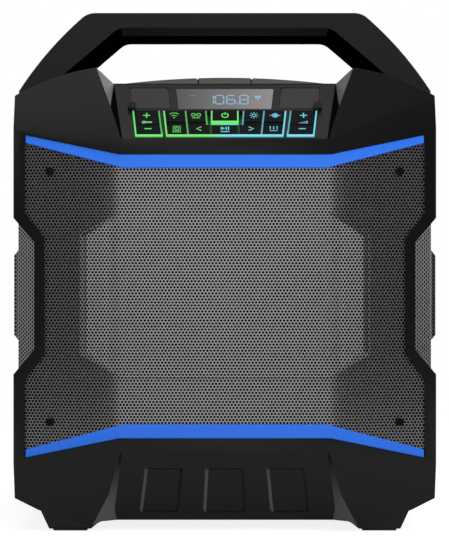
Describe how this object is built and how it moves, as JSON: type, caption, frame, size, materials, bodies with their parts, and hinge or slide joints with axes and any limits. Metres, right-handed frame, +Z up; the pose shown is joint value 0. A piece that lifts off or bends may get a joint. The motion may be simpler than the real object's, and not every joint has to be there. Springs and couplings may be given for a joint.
{
  "type": "portable pa speaker",
  "caption": "Portable PA loudspeaker with a faceted case, fixed top handle, perforated metal grilles, accent strips and a sloping control panel under two port flaps.",
  "frame": {"origin": "on the floor, under the middle of the case", "axes": "+Z up; the front with the grille faces -Y; +X to the right as seen from the front"},
  "size_m": [0.3774, 0.28, 0.4579],
  "materials": {
    "case": "satin",
    "keys": "satin",
    "accent": "gloss",
    "grille": "satin",
    "steel": "satin",
    "soft": "matte",
    "light_guide": "gloss",
    "display": "gloss",
    "electronics": "matte",
    "circuit": "satin",
    "contact": "polished",
    "magnet": "satin",
    "cone": "matte",
    "sink": "satin"
  },
  "bodies": {
    "enclosure": {"accent_strip_lower": "accent", "accent_strip_upper": "accent", "aux_socket": "contact", "baffle": "case", "battery_pack": "electronics", "battery_strap": "steel", "case_body": "case", "case_screws": "steel", "control_panel": "case", "display_module": "electronics", "display_window": "display", "foot_brackets": "case", "foot_pads": "soft", "front_grille": "grille", "front_shell": "case", "grille_screws": "steel", "handle": "case", "handle_bolts": "steel", "heat_sink": "sink", "key_board": "circuit", "key_light_guides": "light_guide", "main_board": "circuit", "mic_jacks": "contact", "port_board": "circuit", "power_inlet": "electronics", "radiator_frame_left": "case", "radiator_frame_right": "case", "radiator_surround_left": "soft", "radiator_surround_right": "soft", "rear_panel": "case", "side_grille_left": "grille", "side_grille_right": "grille", "top_deck": "case", "tweeter_body": "electronics", "usb_port": "contact", "woofer_basket": "steel", "woofer_magnet": "magnet", "woofer_surround": "soft"},
    "key_microphone_down": {"key_microphone_down": "keys"},
    "key_microphone_up": {"key_microphone_up": "keys"},
    "key_volume_down": {"key_volume_down": "keys"},
    "key_volume_up": {"key_volume_up": "keys"},
    "key_wireless": {"key_wireless": "keys"},
    "key_link": {"key_link": "keys"},
    "key_light": {"key_light": "keys"},
    "key_colour": {"key_colour": "keys"},
    "key_record": {"key_record": "keys"},
    "key_previous": {"key_previous": "keys"},
    "key_play": {"key_play": "keys"},
    "key_next": {"key_next": "keys"},
    "key_equaliser": {"key_equaliser": "keys"},
    "key_power": {"key_power": "keys"},
    "mic_flap": {"mic_flap": "soft"},
    "port_flap": {"port_flap": "soft"},
    "inlet_cover": {"inlet_cover": "soft"},
    "woofer_cone": {"woofer_cone": "cone"},
    "tweeter_dome": {"tweeter_dome": "cone"},
    "radiator_cone_left": {"radiator_cone_left": "cone"},
    "radiator_cone_right": {"radiator_cone_right": "cone"}
  },
  "joints": [
    {"name": "key_microphone_down_press", "type": "slide", "parent": "enclosure", "child": "key_microphone_down", "axis": [0, 0.78, -0.6258], "range_m": [0, 0.001], "stiffness_N_per_m": 300, "springref_m": -0.0005},
    {"name": "key_microphone_up_press", "type": "slide", "parent": "enclosure", "child": "key_microphone_up", "axis": [0, 0.78, -0.6258], "range_m": [0, 0.001], "stiffness_N_per_m": 300, "springref_m": -0.0005},
    {"name": "key_volume_down_press", "type": "slide", "parent": "enclosure", "child": "key_volume_down", "axis": [0, 0.78, -0.6258], "range_m": [0, 0.001], "stiffness_N_per_m": 300, "springref_m": -0.0005},
    {"name": "key_volume_up_press", "type": "slide", "parent": "enclosure", "child": "key_volume_up", "axis": [0, 0.78, -0.6258], "range_m": [0, 0.001], "stiffness_N_per_m": 300, "springref_m": -0.0005},
    {"name": "key_wireless_press", "type": "slide", "parent": "enclosure", "child": "key_wireless", "axis": [0, 0.78, -0.6258], "range_m": [0, 0.001], "stiffness_N_per_m": 300, "springref_m": -0.0005},
    {"name": "key_link_press", "type": "slide", "parent": "enclosure", "child": "key_link", "axis": [0, 0.78, -0.6258], "range_m": [0, 0.001], "stiffness_N_per_m": 300, "springref_m": -0.0005},
    {"name": "key_light_press", "type": "slide", "parent": "enclosure", "child": "key_light", "axis": [0, 0.78, -0.6258], "range_m": [0, 0.001], "stiffness_N_per_m": 300, "springref_m": -0.0005},
    {"name": "key_colour_press", "type": "slide", "parent": "enclosure", "child": "key_colour", "axis": [0, 0.78, -0.6258], "range_m": [0, 0.001], "stiffness_N_per_m": 300, "springref_m": -0.0005},
    {"name": "key_record_press", "type": "slide", "parent": "enclosure", "child": "key_record", "axis": [0, 0.78, -0.6258], "range_m": [0, 0.001], "stiffness_N_per_m": 300, "springref_m": -0.0005},
    {"name": "key_previous_press", "type": "slide", "parent": "enclosure", "child": "key_previous", "axis": [0, 0.78, -0.6258], "range_m": [0, 0.001], "stiffness_N_per_m": 300, "springref_m": -0.0005},
    {"name": "key_play_press", "type": "slide", "parent": "enclosure", "child": "key_play", "axis": [0, 0.78, -0.6258], "range_m": [0, 0.001], "stiffness_N_per_m": 300, "springref_m": -0.0005},
    {"name": "key_next_press", "type": "slide", "parent": "enclosure", "child": "key_next", "axis": [0, 0.78, -0.6258], "range_m": [0, 0.001], "stiffness_N_per_m": 300, "springref_m": -0.0005},
    {"name": "key_equaliser_press", "type": "slide", "parent": "enclosure", "child": "key_equaliser", "axis": [0, 0.78, -0.6258], "range_m": [0, 0.001], "stiffness_N_per_m": 300, "springref_m": -0.0005},
    {"name": "key_power_press", "type": "slide", "parent": "enclosure", "child": "key_power", "axis": [0, 0.78, -0.6258], "range_m": [0, 0.001], "stiffness_N_per_m": 300, "springref_m": -0.0005},
    {"name": "mic_flap_hinge", "type": "hinge", "parent": "enclosure", "child": "mic_flap", "pos_m": [0, -0.09907, 0.38846], "axis": [-1, 0, 0], "range_deg": [0, 110]},
    {"name": "port_flap_hinge", "type": "hinge", "parent": "enclosure", "child": "port_flap", "pos_m": [0, -0.09907, 0.38846], "axis": [-1, 0, 0], "range_deg": [0, 110]},
    {"name": "inlet_cover_hinge", "type": "hinge", "parent": "enclosure", "child": "inlet_cover", "pos_m": [0, 0.1375, 0.093], "axis": [1, 0, 0], "range_deg": [0, 120]},
    {"name": "woofer_stroke", "type": "slide", "parent": "enclosure", "child": "woofer_cone", "axis": [0, -1, 0], "range_m": [-0.004, 0.004], "stiffness_N_per_m": 1500},
    {"name": "tweeter_stroke", "type": "slide", "parent": "enclosure", "child": "tweeter_dome", "axis": [0, -1, 0], "range_m": [-0.0003, 0.0003], "stiffness_N_per_m": 1000},
    {"name": "radiator_stroke_left", "type": "slide", "parent": "enclosure", "child": "radiator_cone_left", "axis": [-1, 0, 0], "range_m": [-0.002, 0.002], "stiffness_N_per_m": 800},
    {"name": "radiator_stroke_right", "type": "slide", "parent": "enclosure", "child": "radiator_cone_right", "axis": [1, 0, 0], "range_m": [-0.002, 0.002], "stiffness_N_per_m": 800}
  ]
}
